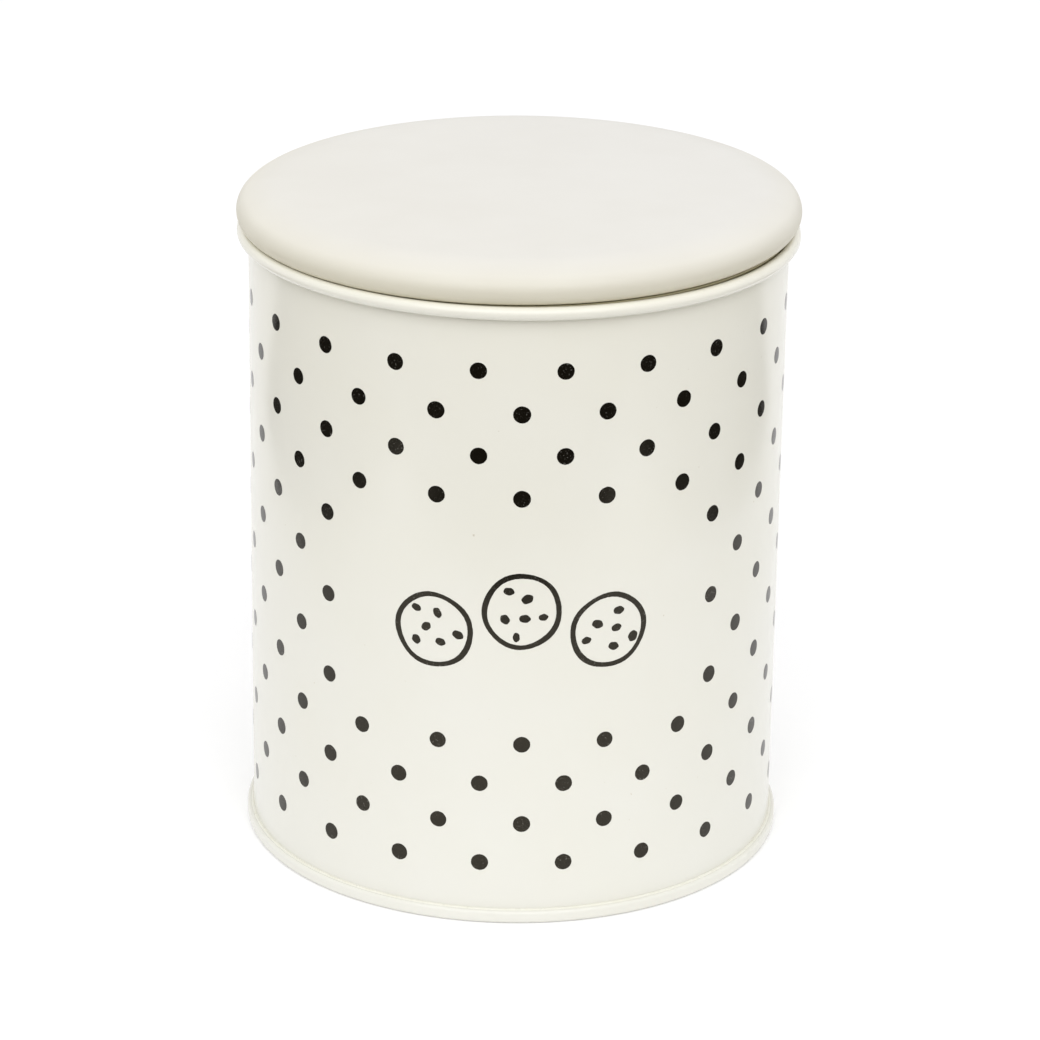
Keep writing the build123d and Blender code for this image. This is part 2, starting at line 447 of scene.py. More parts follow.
def clouded(tree, place, size, base, tint, band=USUAL, blend="MIX"):
    """A base colour that a tint is mixed into, in soft patches of about this size."""
    inputs = {"Factor": patches(tree, place, size, band=band), 6: base, 7: tint}
    return add_node(tree, "ShaderNodeMix", inputs, data_type="RGBA", blend_type=blend).outputs[2]


def from_low_to_high(tree, place, low, high, low_tone, high_tone):
    """A colour that goes from one tone to another with the height above the table."""
    height = add_node(tree, "ShaderNodeSeparateXYZ", {"Vector": place}).outputs["Z"]
    share = add_node(tree, "ShaderNodeMapRange", {"Value": height, "From Min": low, "From Max": high})
    inputs = {"Factor": share, 6: low_tone, 7: high_tone}
    return add_node(tree, "ShaderNodeMix", inputs, data_type="RGBA").outputs[2]


def shade(tone, *shares):
    """A colour with its red, green and blue taken to these shares of what they are."""
    return [value * share for value, share in zip(tone, shares)] + [1.0]


def stoved_enamel():
    """Enamel, rolled and stoved on tinplate: a soft gloss, faintly wavy, in an ivory never quite even."""
    finish, tree, place, tones = new_finish("stoved_enamel")
    # Painted shade: the coat darkens from the rim down to the foot and the base.
    coat = from_low_to_high(tree, place, WALL_LOW.z, WALL_HIGH.z, tones.enamel_foot_painted_shade, tones.enamel)
    thin = shade(WHITE, 0.99, 0.988, 0.975)
    uneven = clouded(tree, place, 25 * MM, coat, thin, blend="MULTIPLY")
    speck = shade(tones.enamel, 0.75, 0.72, 0.66)
    sway = rippled(tree, place, 32 * MM, 0.06 * MM)  # of the sheet, under the coat's own orange peel
    inputs = {
        "Base Color": clouded(tree, place, 1.6 * MM, uneven, speck, (0.78, 0.8)),
        "Roughness": patches(tree, place, 9 * MM, 0.17, 0.23),
        "Normal": rippled(tree, place, 1.8 * MM, 0.006 * MM, sway),
        "IOR": 1.5,
    }
    return end_finish(finish, inputs)


def matt_powder_coat():
    """Powder coat, baked: dry and even, with a fine tooth that only glows softly where the lid turns."""
    finish, tree, place, tones = new_finish("matt_powder_coat")
    # Painted warm shade: the coat goes warmer and yellower from the top down to the lid's edge.
    coat = from_low_to_high(tree, place, SHELL_LOW.z, SHELL_HIGH.z, tones.powder_edge, tones.powder)
    thin = shade(WHITE, 0.985, 0.983, 0.98)
    sway = rippled(tree, place, 30 * MM, 0.05 * MM)
    # The tooth is assumed to be about 0.1 mm across. It is drawn 0.5 mm across so that it shows.
    inputs = {
        "Base Color": clouded(tree, place, 18 * MM, coat, thin, (0.35, 0.65), "MULTIPLY"),
        "Roughness": patches(tree, place, 12 * MM, 0.42, 0.5),
        "Normal": rippled(tree, place, 0.5 * MM, 0.004 * MM, sway),
        "IOR": 1.48,
    }
    return end_finish(finish, inputs)


def screen_ink():
    """Ink, screen printed: near black and a little shiny, with pinholes that let the coat show through."""
    finish, tree, place, tones = new_finish("screen_ink")
    # Pinholes are assumed to be about 0.1 mm across. They are drawn 0.45 mm across so that they show.
    worn = patches(tree, place, 9 * MM, band=(0.4, 0.7))
    pinhole = patches(tree, place, 0.45 * MM, 0.0, 0.5, (0.62, 0.85))
    holes = add_node(tree, "ShaderNodeMath", {0: worn, 1: pinhole}, operation="MULTIPLY")
    colours = {"Factor": holes, 6: tones.ink, 7: tones.enamel}
    inputs = {
        "Base Color": add_node(tree, "ShaderNodeMix", colours, data_type="RGBA").outputs[2],
        "Roughness": patches(tree, place, 5 * MM, 0.13, 0.19),
        "Normal": rippled(tree, place, 0.5 * MM, 0.004 * MM),
        # A warm tint painted into the ink's reflections.
        "Specular Tint": tones.ink_painted_reflection_tint,
        "IOR": 1.48,
    }
    return end_finish(finish, inputs)


def pooled_lacquer():
    """Lacquer, pooled in the seam: the coat's ivory, a little yellower, softly shiny where it stands up."""
    finish, tree, place, tones = new_finish("pooled_lacquer")
    thick = shade(tones.pool, 0.97, 0.965, 0.94)
    inputs = {
        "Base Color": clouded(tree, place, 3 * MM, tones.pool, thick, (0.35, 0.65)),
        "Roughness": patches(tree, place, 2 * MM, 0.25, 0.4),
        "IOR": 1.5,
    }
    return end_finish(finish, inputs)


def moulded_silicone():
    """Silicone rubber, moulded: a smoky olive, partly painted shade so that the gap under the lid reads
    dark, with a dull even sheen.
    """
    finish, tree, place, tones = new_finish("moulded_silicone")
    dull = shade(tones.silicone, 0.95, 0.95, 0.94)
    # The mould's grain is assumed to be about 0.2 mm across. It is drawn 0.7 mm across so that it shows.
    inputs = {
        "Base Color": clouded(tree, place, 6 * MM, tones.silicone, dull),
        "Roughness": patches(tree, place, 4 * MM, 0.42, 0.52),
        "Normal": rippled(tree, place, 0.7 * MM, 0.005 * MM),
        "IOR": 1.41,
    }
    return end_finish(finish, inputs)


def opal_acrylic(name, glow):
    """Acrylic, opal and lit from inside: white, satin, and bright enough to swallow the tin's shadow."""
    finish, tree, place, tones = new_finish(name)
    finish.cycles.emission_sampling = "NONE"
    inputs = {
        "Base Color": clouded(tree, place, 60 * MM, tones.table, shade(tones.table, 0.99, 0.99, 0.99)),
        "Roughness": 0.6,
        "Emission Color": WHITE,
        "Emission Strength": glow,
        "IOR": 1.49,
    }
    return end_finish(finish, inputs)


def black_flag():
    """Felt, pressed on a card: a dull black that takes the shine off whatever mirrors it."""
    finish, tree, place, tones = new_finish("black_flag")
    inputs = {
        "Base Color": clouded(tree, place, 2 * MM, tones.felt, shade(tones.felt, 1.25, 1.25, 1.25)),
        "Roughness": 1.0,
        "IOR": 1.3,
    }
    return end_finish(finish, inputs)


# ---------------------------------------------------------------- the tin's own lines
def wall_radius():
    """Outside of the wall."""
    sizes = bpy.context.scene.tin_sizes
    return WALL_HIGH.x - sizes.rim_roll + sizes.sheet


def roll_centre():
    """Middle of the rolled rim, in section."""
    half = bpy.context.scene.tin_sizes.rim_roll / 2
    return WALL_HIGH.x - half, WALL_HIGH.z - half


def mouth_radius():
    """Inside of the wall."""
    return wall_radius() - bpy.context.scene.tin_sizes.sheet


def plug_radius():
    """Outside of the lid's plug."""
    return mouth_radius() - bpy.context.scene.tin_sizes.seal_space


def lid_piece(name, outline, finish, slot, node):
    """A turned piece of the lid, tipped about the middle of the mouth, as the lid sits slightly askew."""
    sizes = bpy.context.scene.tin_sizes
    made = turned(name, outline, finish)
    mouth = Matrix.Translation((0, 0, WALL_HIGH.z))
    way = Matrix.Rotation(sizes.lid_lean_way, 4, "Z")
    tip = way @ Matrix.Rotation(-sizes.lid_lean, 4, "Y") @ way.inverted()
    sunk = Matrix.Translation((0, 0, -sizes.lid_sink))
    made.data.transform(mouth @ tip @ sunk @ mouth.inverted())
    dress(made, "lid", slot, node)


def seam_layer(layer):
    """Middle of a layer of the double seam: -1 is the base inside, 0 the wall, and 1 to 3 lie outside."""
    sizes = bpy.context.scene.tin_sizes
    return wall_radius() - sizes.sheet / 2 + layer * (sizes.sheet + sizes.seam_play)


class TIN_OT_wall(bpy.types.Operator):
    """Turn the wall: a hook in the double seam, the straight wall and the rolled rim"""

    bl_idname = "tin.wall"
    bl_label = "Wall"

    def execute(self, context):
        sizes = context.scene.tin_sizes
        pitch = sizes.sheet + sizes.seam_play
        hook, wall = seam_layer(2), seam_layer(0)
        tip = sizes.seam_height - sizes.sheet - sizes.hook_gap
        low = WALL_LOW.z + sizes.sheet / 2
        centre = roll_centre()
        line = rounded([(hook, tip, 0), (hook, low, pitch), (wall, low, pitch), (wall, centre[1], 0)])
        line += arc(centre, (sizes.rim_roll - sizes.sheet) / 2, math.pi, -sizes.rim_roll_turn)[1:]
        made = turned("tin_wall", sheet_outline(braced(line), sizes.sheet), stoved_enamel())
        dress(made, "canister", "body_coat", "body_wall")
        return {"FINISHED"}


class TIN_OT_lock_seam(bpy.types.Operator):
    """Fold the lock seam down the back of the wall"""

    bl_idname = "tin.lock_seam"
    bl_label = "Lock seam"

    def execute(self, context):
        sizes = context.scene.tin_sizes
        pitch = sizes.sheet + sizes.seam_play
        layers = [seam_layer(layer) for layer in range(4)]
        axis = (0, 0)
        half = sizes.lock_width / 2 / layers[0]
        fold_a, fold_b = math.pi / 2 + half, math.pi / 2 - half
        tip = sizes.seam_play / layers[0]
        step = 2 * math.asin(1.5 * pitch / layers[1])
        across = math.pi / 2 + step / 2
        bend_a, bend_b = around(axis, layers[1], fold_a), around(axis, layers[2], fold_b)
        bend_step = around(axis, layers[1], fold_a + step)
        inner = arc(bend_a, pitch, fold_a + math.pi, -math.pi)
        inner += arc(axis, layers[2], fold_a, fold_b + tip - fold_a)[1:]
        outer = arc(axis, layers[1], fold_a - tip, fold_b - fold_a + tip)
        outer += arc(bend_b, pitch, fold_b + math.pi, math.pi)[1:]
        outer += arc(axis, layers[3], fold_b, fold_a - fold_b)[1:]
        outer += arc(bend_a, 2 * pitch, fold_a, across)[1:]
        outer += arc(bend_step, pitch, fold_a + math.pi + across, step / 2 - math.pi / 2)[1:]
        low = sizes.seam_height + sizes.lock_margin
        high = WALL_HIGH.z - sizes.rim_roll - sizes.lock_margin
        shape = bmesh.new()
        for line in (inner, outer):
            shape.faces.new([shape.verts.new((*point, low)) for point in sheet_outline(line, sizes.sheet)])
        made = drawn_out(shape, "lock_seam", (0, 0, high - low))
        made.data.materials.append(stoved_enamel())
        dress(smoothed(made), "canister", "body_coat")
        return {"FINISHED"}


class TIN_OT_base(bpy.types.Operator):
    """Turn the base: the cover hook, the foot ring and the sunk panel"""

    bl_idname = "tin.base"
    bl_label = "Base"

    def execute(self, context):
        sizes = context.scene.tin_sizes
        half = sizes.sheet / 2
        pitch = sizes.sheet + sizes.seam_play
        hook, cover, chuck = seam_layer(1), seam_layer(3), seam_layer(-1)
        tip = sizes.sheet + pitch + sizes.hook_gap
        top = sizes.seam_height - half
        panel = sizes.panel_height - half
        line = rounded(
            [
                (hook, tip, 0),
                (hook, top, pitch),
                (cover, top, pitch),
                (cover, half, sizes.foot_bend),
                (chuck, half, sizes.foot_bend),
                (chuck, sizes.chuck_height - half, sizes.foot_bend),
                (chuck - sizes.chuck_slope, panel, 2 * sizes.foot_bend),
                (0, panel, 0),
            ]
        )
        made = turned("tin_base", sheet_outline(braced(line), sizes.sheet), stoved_enamel())
        dress(made, "canister", "body_coat", "base_end")
        return {"FINISHED"}


def less_and_more(tree, share):
    """One less this share, and one more than it."""
    ways = ("SUBTRACT", "ADD")
    return [add_node(tree, "ShaderNodeMath", {0: 1.0, 1: share}, operation=way) for way in ways]


def pool_tree():
    """Sweeps a round section along a ring whose thickness comes and goes."""
    inputs = dict.fromkeys(("Radius", "Height", "Pool patch", "Pool unevenness"), "Float")
    tree, given = new_tree("Pooled ring", inputs | {"Segments": "Int", "Finish": "Material"})
    section = add_node(tree, "GeometryNodeMeshToCurve", {"Mesh": given["Shape"]})
    circle = {"Resolution": given["Segments"], "Radius": given["Radius"]}
    ring = add_node(tree, "GeometryNodeCurvePrimitiveCircle", circle)
    here = add_node(tree, "GeometryNodeInputPosition")
    fineness = add_node(tree, "ShaderNodeMath", {0: 1.0, 1: given["Pool patch"]}, operation="DIVIDE")
    noise = add_node(tree, "ShaderNodeTexNoise", {"Vector": here, "Scale": fineness, "Detail": 2.0})
    least, most = less_and_more(tree, given["Pool unevenness"])
    ends = {"Value": noise, "From Min": USUAL[0], "From Max": USUAL[1], "To Min": least, "To Max": most}
    swell = add_node(tree, "ShaderNodeMapRange", ends)
    swelling = add_node(tree, "GeometryNodeSetCurveRadius", {"Curve": ring, "Radius": swell})
    rise = add_node(tree, "ShaderNodeCombineXYZ", {"Z": given["Height"]})
    raised = add_node(tree, "GeometryNodeSetPosition", {"Geometry": swelling, "Offset": rise})
    level = add_node(tree, "GeometryNodeSetCurveNormal", {"Curve": raised}, mode="Z_UP")
    swept = add_node(tree, "GeometryNodeCurveToMesh", {"Curve": level, "Profile Curve": section})
    return end_tree(tree, swept, given["Finish"])


class TIN_OT_pool(bpy.types.Operator):
    """Run the lacquer that pools in the corner between the wall and the double seam"""

    bl_idname = "tin.pool"
    bl_label = "Pooled lacquer"

    def execute(self, context):
        sizes = context.scene.tin_sizes
        section = arc((0, 0), sizes.pool / 2, 0, math.tau)[1::4]  # a coarse round is enough here
        out, sunk = sizes.pool / 6, sizes.pool / 4  # from the corner to the middle of the section
        values = labelled(sizes) | {
            "Radius": wall_radius() + out,
            "Height": sizes.seam_height - sunk,
            "Segments": 4 * sizes.segments,  # fine enough for its patches
            "Finish": pooled_lacquer(),
        }
        source = closed_line("section", [(spot.x, spot.y, 0) for spot in section])
        dress(smoothed(grown(source, pool_tree(), values, "seam_pool")), "canister", "body_coat")
        return {"FINISHED"}


class TIN_OT_lid(bpy.types.Operator):
    """Turn the lid's domed shell and the plug that fits the mouth"""

    bl_idname = "tin.lid"
    bl_label = "Lid"

    def execute(self, context):
        sizes = context.scene.tin_sizes
        half = sizes.shell_sheet / 2
        widest = SHELL_LOW.z + sizes.curl_radius
        curl = Vector((SHELL_HIGH.x - sizes.curl_radius, widest))
        edge = Vector((SHELL_HIGH.x - sizes.edge_radius, widest))
        turn = math.pi / 2 - sizes.shoulder_slope
        shoulder = around(edge, sizes.edge_radius - sizes.shoulder_radius, turn)
        bend = math.pi / 2 - sizes.crown_slope
        crown = around(shoulder, sizes.shoulder_radius - sizes.crown_radius, bend)
        line = [Vector((0, crown.y + sizes.crown_radius - half))]
        line += arc(crown, sizes.crown_radius - half, math.pi / 2, -sizes.crown_slope)
        line += arc(shoulder, sizes.shoulder_radius - half, bend, turn - bend)[1:]
        line += arc(edge, sizes.edge_radius - half, turn, -turn)[1:]
        line += arc(curl, sizes.curl_radius - half, 0, -math.pi / 2)[1:]
        line.append(Vector((plug_radius() + sizes.hem_gap, SHELL_LOW.z + half)))
        outline = sheet_outline(braced(line), sizes.shell_sheet)
        lid_piece("lid_dome", outline, matt_powder_coat(), "lid_coat", "lid_shell")

        half = sizes.sheet / 2
        middle = plug_radius() - half
        floor, flange = PLUG_LOW.z + half, PLUG_HIGH.z - half
        bend = 1.5 * sizes.sheet
        line = rounded(
            [
                (0, floor, 0),
                (mouth_radius() - sizes.flare_gap - half, floor, bend),
                (middle, floor + sizes.flare_height, bend),
                (middle, flange, bend),
                (curl.x, flange, 0),
            ]
        )
        outline = sheet_outline(braced(line), sizes.sheet)
        lid_piece("lid_plug_cup", outline, matt_powder_coat(), "lid_coat", "lid_plug")
        return {"FINISHED"}


class TIN_OT_seal(bpy.types.Operator):
    """Turn the soft seal: a collar under the lid's hem, a band, and a lip at its foot"""

    bl_idname = "tin.seal"
    bl_label = "Seal"

    def execute(self, context):
        sizes = context.scene.tin_sizes
        inside = plug_radius() + sizes.seam_play
        band = inside + sizes.seal_band
        lip = mouth_radius() - sizes.seal_play
        roll = roll_centre()
        seat = sizes.rim_roll / 2 + sizes.seal_play
        notch = seat * math.tan(math.pi / 8)  # the seat is half of an octagon's corner round the roll
        collar = roll[1] - sizes.seat_depth
        soft = sizes.seal_band / 5
        line = rounded(
            [
                (inside, SEAL_HIGH.z, soft),
                (SEAL_HIGH.x, SEAL_HIGH.z, 0.75 * soft),
                (SEAL_HIGH.x, roll[1] + seat, soft),
                (lip, roll[1] + notch, 4 * soft),
                (lip, collar, soft),
                (band, collar - (lip - band), soft),
                (band, SEAL_LOW.z + sizes.lip_height, soft),
                (lip, SEAL_LOW.z, soft / 2),
                (inside, SEAL_LOW.z, soft / 2),
            ]
        )
        lid_piece("seal_ring", braced(line), moulded_silicone(), "seal_rubber", "lid_seal")
        return {"FINISHED"}


# ---------------------------------------------------------------- print
def add_wrap(tree, shape, given):
    """Bites a flat print's edges ragged and lays it round the wall. Flat, it faces -Y, and X runs along."""
    here = add_node(tree, "GeometryNodeInputPosition")
    fineness = add_node(tree, "ShaderNodeMath", {0: 1.0, 1: given["Edge grain"]}, operation="DIVIDE")
    noise = add_node(tree, "ShaderNodeTexNoise", {"Vector": here, "Scale": fineness, "Detail": 2.0})
    # The noise's colour goes from 0 to 1. The stray goes both ways and leaves the ink's thickness alone.
    middle = {0: noise.outputs[1], 1: (0.5, 0.5, 0.5)}
    centred = add_node(tree, "ShaderNodeVectorMath", middle, operation="SUBTRACT")
    bite = {0: centred, "Scale": given["Ragged edge"]}
    bitten = add_node(tree, "ShaderNodeVectorMath", bite, operation="SCALE")
    level = add_node(tree, "ShaderNodeVectorMath", {0: bitten, 1: (2, 0, 2)}, operation="MULTIPLY")
    strayed = add_node(tree, "ShaderNodeVectorMath", {0: here, 1: level}, operation="ADD")
    part = add_node(tree, "ShaderNodeSeparateXYZ", {"Vector": strayed}).outputs
    spot = add_node(tree, "ShaderNodeMath", {0: part[0], 1: given["Wall radius"]}, operation="DIVIDE")
    reach = add_node(tree, "ShaderNodeMath", {0: given["Wall radius"], 1: part[1]}, operation="SUBTRACT")
    sine = add_node(tree, "ShaderNodeMath", {0: spot}, operation="SINE")
    cosine = add_node(tree, "ShaderNodeMath", {0: spot}, operation="COSINE")
    across = add_node(tree, "ShaderNodeMath", {0: reach, 1: sine}, operation="MULTIPLY")
    depth = add_node(tree, "ShaderNodeMath", {0: reach, 1: cosine}, operation="MULTIPLY")
    front = add_node(tree, "ShaderNodeMath", {0: depth, 1: -1.0}, operation="MULTIPLY")
    laid = add_node(tree, "ShaderNodeCombineXYZ", {"X": across, "Y": front, "Z": part[2]})
    return add_node(tree, "GeometryNodeSetPosition", {"Geometry": shape, "Position": laid})


WRAP_INPUTS = dict.fromkeys(("Wall radius", "Ragged edge", "Edge grain"), "Float") | {"Finish": "Material"}


def wrap_values():
    """What the print trees are told about the print, the wall and the ink."""
    return labelled(bpy.context.scene.tin_print) | {"Wall radius": wall_radius(), "Finish": screen_ink()}


def dots_tree():
    """Lays dots out in staggered columns, clears a window in their middle and wraps them round the wall."""
    steps = ("Column step", "Half row step", "Middle height", "Middle offset")
    clear = ("Clear half width", "Clear half height")
    inputs = dict.fromkeys(("Dot", *steps, *clear, "Lean", "Unevenness"), "Float")
    inputs |= dict.fromkeys(("Columns", "Half rows", "Dot seed"), "Int")
    tree, given = new_tree("Dots round the wall", inputs | WRAP_INPUTS)
    spans = []
    for lines, step in (("Columns", "Column step"), ("Half rows", "Half row step")):
        more = add_node(tree, "ShaderNodeMath", {0: given[lines], 1: 1.0}, operation="SUBTRACT")
        spans.append(add_node(tree, "ShaderNodeMath", {0: more, 1: given[step]}, operation="MULTIPLY"))
    counts = {"Vertices X": given["Columns"], "Vertices Y": given["Half rows"]}
    grid = add_node(tree, "GeometryNodeMeshGrid", {"Size X": spans[0], "Size Y": spans[1], **counts})

    # The grid counts up each column in turn. With an odd number of rows, every second point is a dot.
    index = add_node(tree, "GeometryNodeInputIndex")
    between = add_node(tree, "ShaderNodeMath", {0: index, 1: 2.0}, operation="MODULO")
    here = add_node(tree, "GeometryNodeInputPosition")
    part = add_node(tree, "ShaderNodeSeparateXYZ", {"Vector": here}).outputs
    inside = []
    for way, reach in zip(part, clear):
        off = add_node(tree, "ShaderNodeMath", {0: way}, operation="ABSOLUTE")
        inside.append(add_node(tree, "ShaderNodeMath", {0: off, 1: given[reach]}, operation="LESS_THAN"))
    window = add_node(tree, "ShaderNodeMath", {0: inside[0], 1: inside[1]}, operation="MULTIPLY")
    bare = add_node(tree, "ShaderNodeMath", {0: between, 1: window}, operation="MAXIMUM")
    spots = add_node(tree, "GeometryNodeDeleteGeometry", {"Geometry": grid, "Selection": bare})

    drift = {0: part[1], 1: given["Lean"], 2: part[0]}
    leaning = add_node(tree, "ShaderNodeMath", drift, operation="MULTIPLY_ADD")
    along = add_node(tree, "ShaderNodeMath", {0: leaning, 1: given["Middle offset"]}, operation="ADD")
    raised = add_node(tree, "ShaderNodeMath", {0: part[1], 1: given["Middle height"]}, operation="ADD")
    place = add_node(tree, "ShaderNodeCombineXYZ", {"X": along, "Z": raised})
    placed = add_node(tree, "GeometryNodeSetPosition", {"Geometry": spots, "Position": place})
    least, most = less_and_more(tree, given["Unevenness"])
    spread = add_node(tree, "FunctionNodeRandomValue", {2: least, 3: most, 8: given["Dot seed"]}).outputs[1]
    size = add_node(tree, "ShaderNodeMath", {0: spread, 1: given["Dot"]}, operation="MULTIPLY")
    scale = add_node(tree, "ShaderNodeCombineXYZ", {"X": size, "Y": 1.0, "Z": size})
    copies = {"Points": placed, "Instance": given["Shape"], "Scale": scale}
    dots = add_node(tree, "GeometryNodeInstanceOnPoints", copies)
    real = add_node(tree, "GeometryNodeRealizeInstances", {"Geometry": dots})
    return end_tree(tree, add_wrap(tree, real, given), given["Finish"])


DOT_SIDES = 20


def one_dot(name):
    """A flat dot of ink, one across: a face with a ring inside it, a rim and a back behind the coat."""
    film = bpy.context.scene.tin_print.film
    turns = [math.tau * side / DOT_SIDES for side in range(DOT_SIDES)]
    radius = 0.5
    points = [(0, -film, 0)]
    for reach, out in ((radius / 2, -film), (radius, -film), (radius, film)):
        points += [(reach * math.cos(turn), out, reach * math.sin(turn)) for turn in turns]
    faces = [tuple(range(1 + 2 * DOT_SIDES, 1 + 3 * DOT_SIDES))]
    for side in range(DOT_SIDES):
        here, on = 1 + side, 1 + (side + 1) % DOT_SIDES
        faces.append((0, here, on))
        for ring in (0, DOT_SIDES):
            faces.append((here + ring, here + ring + DOT_SIDES, on + ring + DOT_SIDES, on + ring))
    mesh = bpy.data.meshes.new(name)
    mesh.from_pydata(points, [], faces)
    return new_object(name, mesh)


class TIN_OT_dots(bpy.types.Operator):
    """Print the dots round the wall, clear of the lock seam"""

    bl_idname = "tin.dots"
    bl_label = "Dots"

    def execute(self, context):
        sizes = context.scene.tin_print
        window = {
            "Clear half width": sizes.clear_columns * sizes.column_step / 2,
            "Clear half height": sizes.clear_rows * sizes.row_step / 2,
        }
        dots = grown(one_dot("one_dot"), dots_tree(), wrap_values() | window, "printed_dots")
        dress(smoothed(dots), "canister", "body_coat")
        return {"FINISHED"}


def biscuits_tree():
    """Wraps the flat drawing of the biscuits round the wall."""
    tree, given = new_tree("Drawing round the wall", WRAP_INPUTS)
    return end_tree(tree, add_wrap(tree, given["Shape"], given), given["Finish"])


OUTLINE_POINTS, CHIP_POINTS = 150, 24  # round a biscuit and round a chip
OUTLINE_STRAY, LINE_STRAY, CHIP_STRAY = 0.016, 0.09, 0.06  # how unsteady each is drawn
CHIP_LEAST = 0.72  # radius of the smallest chip, in line widths, where the largest is one
CHIP_LONG, CHIP_SHORT = 1.15, 0.9  # half sizes of an oval chip, for each of its radius
CHIP_SPREAD = 0.78  # share of the biscuit's radius that the chips are scattered over
CHIP_START = 0.45  # how far along the first step of the scatter the first chip lies


def wobble(turn, phase, deep):
    """Strays a line drawn by hand in a slow wave and a quick one, as a share of its radius at this turn."""
    return 1 + deep * (math.sin(2 * turn + phase) + 0.6 * math.sin(5 * turn + 2 * phase))


def upright(across, up):
    """A way on the flat print."""
    return Vector((across, 0, up))


def draw_biscuit(shape, middle, chance):
    """Draws one biscuit flat: a line round it, and chips scattered like seeds from the middle outwards."""
    sizes = bpy.context.scene.tin_print
    radius = (sizes.biscuit - sizes.line) / 2
    phase = chance.uniform(0, math.tau)
    rings = []
    for point in range(OUTLINE_POINTS):
        turn = math.tau * point / OUTLINE_POINTS
        way = upright(math.cos(turn), math.sin(turn))
        thick = sizes.line / 2 * wobble(turn, 3 * phase, LINE_STRAY)
        reach = radius * wobble(turn, phase, OUTLINE_STRAY)
        rings.append([shape.verts.new(middle + way * (reach + side * thick)) for side in (-1, 1)])
    for here, on in zip(rings, rings[1:] + rings[:1]):
        shape.faces.new((here[0], here[1], on[1], on[0]))
    golden = math.pi * (3 - math.sqrt(5))
    for chip in range(sizes.chips):
        reach = radius * CHIP_SPREAD * math.sqrt((chip + CHIP_START) / sizes.chips)
        turn = phase + golden * chip
        centre = middle + upright(math.cos(turn), math.sin(turn)) * reach
        chip_radius = sizes.line * chance.uniform(CHIP_LEAST, 1.0)
        lean = chance.uniform(0, math.tau)
        hub = shape.verts.new(centre)
        rim = []
        for point in range(CHIP_POINTS):
            spot = math.tau * point / CHIP_POINTS
            out = upright(math.cos(spot) * CHIP_LONG, math.sin(spot) * CHIP_SHORT) * chip_radius
            out.rotate(Matrix.Rotation(lean, 3, "Y"))
            rim.append(shape.verts.new(centre + out * wobble(spot, lean, CHIP_STRAY)))
        for here, on in zip(rim, rim[1:] + rim[:1]):
            shape.faces.new((hub, here, on))


class TIN_OT_biscuits(bpy.types.Operator):
    """Print three plain biscuits in the clear window"""

    bl_idname = "tin.biscuits"
    bl_label = "Biscuits"

    def execute(self, context):
        sizes = context.scene.tin_print
        chance = random.Random(sizes.biscuit_seed)
        shape = bmesh.new()
        for place in (-1, 0, 1):
            across = sizes.middle_turn + place * sizes.biscuit_step
            up = sizes.middle_height + sizes.biscuit_rise * (0.5 - abs(place))
            draw_biscuit(shape, Vector((across, -sizes.film, up)), chance)
        drawing = drawn_out(shape, "drawing", (0, 2 * sizes.film, 0))
        made = grown(drawing, biscuits_tree(), wrap_values(), "printed_biscuits")
        dress(smoothed(made), "canister", "body_coat")
        return {"FINISHED"}


# ---------------------------------------------------------------- stage
def stage_sheet(name, corners, height, finish, seen=True):
    """A sheet of the stage between these corners, raised to a height, that the camera sees or doesn't."""
    mesh = bpy.data.meshes.new(name)
    mesh.from_pydata([Vector(corner) + Vector((0, 0, height)) for corner in corners], [], [(0, 1, 2, 3)])
    mesh.materials.append(finish)
    made = new_object(name, mesh)
    made.visible_camera = seen


def level_corners(left, right, near, far):
    """Corners of a level sheet between two places across and two along the table."""
    return [(left, near, 0), (right, near, 0), (right, far, 0), (left, far, 0)]


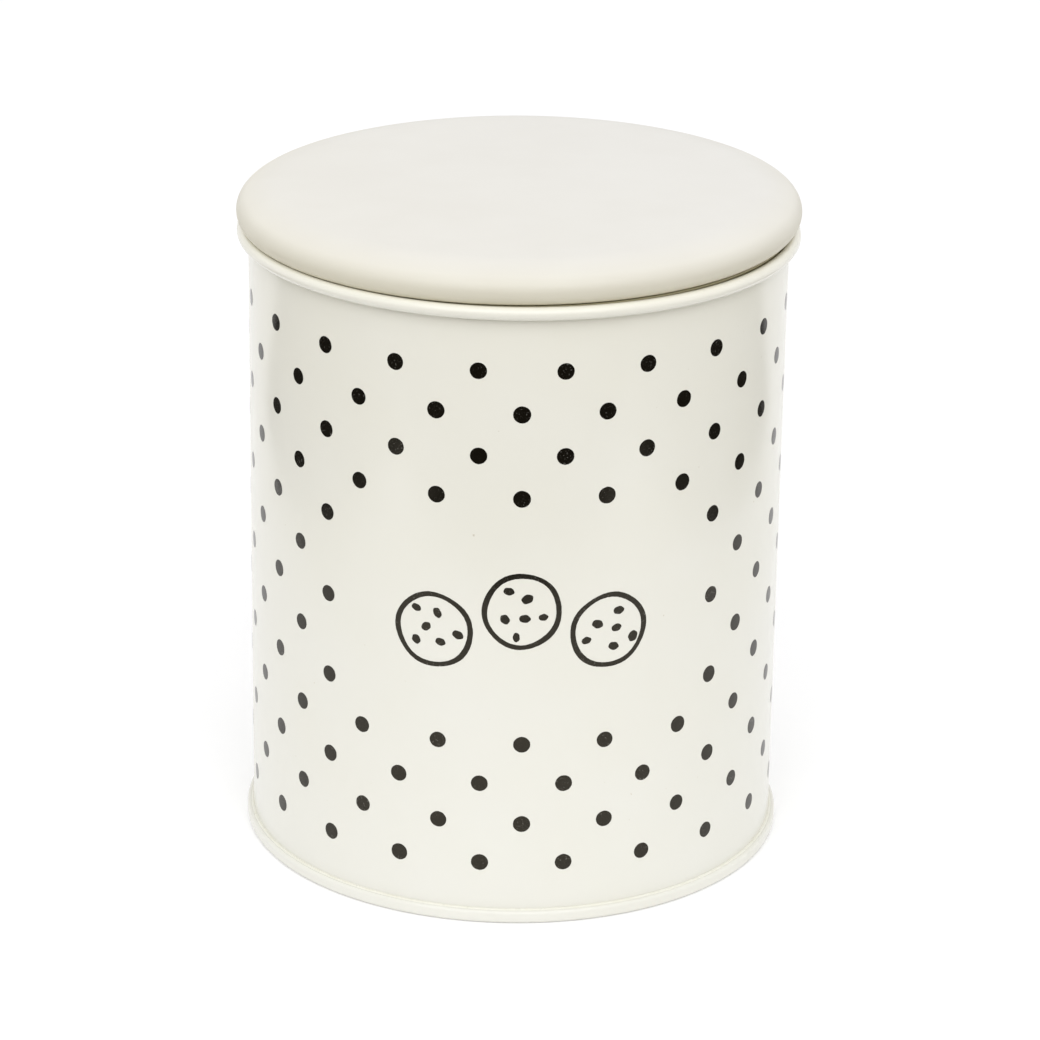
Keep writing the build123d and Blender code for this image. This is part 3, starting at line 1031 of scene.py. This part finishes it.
class TIN_OT_stage(bpy.types.Operator):
    """Set the light table, the light tent, the soft box, the black flags and the camera"""

    bl_idname = "tin.stage"
    bl_label = "Stage"

    def execute(self, context):
        sizes = context.scene.tin_stage
        edge = sizes.table_reach
        table = level_corners(-edge, edge, -edge, edge)
        stage_sheet("light_table", table, -sizes.table_sink, opal_acrylic("light_table", sizes.table_glow))

        # Flags on the table take the shine off the wall. A lit card under each keeps the table white.
        felt = black_flag()
        card = opal_acrylic("lit_card", sizes.card_glow)
        near, side, far = -sizes.flag_front, sizes.flag_side, sizes.flag_reach
        flags = {
            "front": level_corners(-far, far, near, -far),
            "left": level_corners(-side, -far, near, sizes.flag_left_back),
            "right": level_corners(side, far, near, sizes.flag_right_back),
        }
        for name, corners in flags.items():
            stage_sheet("flag_" + name, corners, sizes.flag_rise, felt, seen=False)
            stage_sheet("card_" + name, corners, sizes.card_rise, card, seen=False)
        top = sizes.flag_stand
        stand = [(-far, -far, 0), (far, -far, 0), (far, -far, top), (-far, -far, top)]
        stage_sheet("flag_stand", stand, sizes.flag_rise, felt, seen=False)

        world = bpy.data.worlds.new("light_tent")
        context.scene.world = world
        world.use_nodes = True
        tree = world.node_tree
        tree.nodes.clear()
        tent = add_node(tree, "ShaderNodeBackground", {"Color": WHITE, "Strength": sizes.tent})
        add_node(tree, "ShaderNodeOutputWorld", {"Surface": tent})

        box = bpy.data.lights.new("soft_box", "AREA")
        box.shape = "RECTANGLE"
        box.size, box.size_y, box.energy = sizes.key_width, sizes.key_depth, sizes.key_watts
        made = new_object("soft_box", box)
        made.location = (0, -sizes.key_back, sizes.key_height)
        aim = Vector((0, 0, sizes.key_aim)) - made.location
        made.rotation_euler = aim.to_track_quat("-Z", "Y").to_euler()
        context.scene.view_settings.view_transform = "Standard"

        camera = bpy.data.cameras.new("camera")
        camera.lens = sizes.camera_lens
        camera.sensor_width = 36  # millimetres, as the lens is
        camera.clip_start, camera.clip_end = 0.05, 20  # metres
        made = new_object("camera", camera)
        dip = Matrix.Rotation(math.pi / 2 - sizes.camera_dip, 4, "X")
        roll = Matrix.Rotation(sizes.camera_roll, 4, "Z")
        turn = Matrix.Rotation(-sizes.camera_turn, 4, "Z")
        stood = Matrix.Translation((0, -sizes.camera_back, sizes.camera_height))
        made.matrix_world = stood @ turn @ dip @ roll
        context.scene.camera = made
        return {"FINISHED"}


# ---------------------------------------------------------------- panel and run
OPERATORS = (
    TIN_OT_wall,
    TIN_OT_lock_seam,
    TIN_OT_base,
    TIN_OT_pool,
    TIN_OT_lid,
    TIN_OT_seal,
    TIN_OT_dots,
    TIN_OT_biscuits,
    TIN_OT_stage,
)
GROUPS = {"tin_sizes": TinSizes, "tin_print": PrintSizes, "tin_finish": TinFinish, "tin_stage": StageSizes}


class TIN_PT_dresser(bpy.types.Panel):
    """Lists the tin's pieces, sizes and colours"""

    bl_idname = "TIN_PT_dresser"
    bl_label = "Cookie tin"
    bl_space_type = "VIEW_3D"
    bl_region_type = "UI"
    bl_category = "Cookie tin"

    def draw(self, context):
        for operator in OPERATORS:
            self.layout.operator(operator.bl_idname)
        for name, group in GROUPS.items():
            box = self.layout.box()
            for prop in group.__annotations__:
                box.prop(getattr(context.scene, name), prop)


CLASSES = (*GROUPS.values(), *OPERATORS, TIN_PT_dresser)


def register():
    for made in CLASSES:
        bpy.utils.register_class(made)
    for name, group in GROUPS.items():
        setattr(bpy.types.Scene, name, PointerProperty(type=group))


def unregister():
    for name in GROUPS:
        delattr(bpy.types.Scene, name)
    for made in reversed(CLASSES):
        bpy.utils.unregister_class(made)


def main():
    register()
    bpy.ops.tin.wall()
    bpy.ops.tin.lock_seam()
    bpy.ops.tin.base()
    bpy.ops.tin.pool()
    bpy.ops.tin.lid()
    bpy.ops.tin.seal()
    bpy.ops.tin.dots()
    bpy.ops.tin.biscuits()
    bpy.ops.tin.stage()


if __name__ == "__main__":
    main()
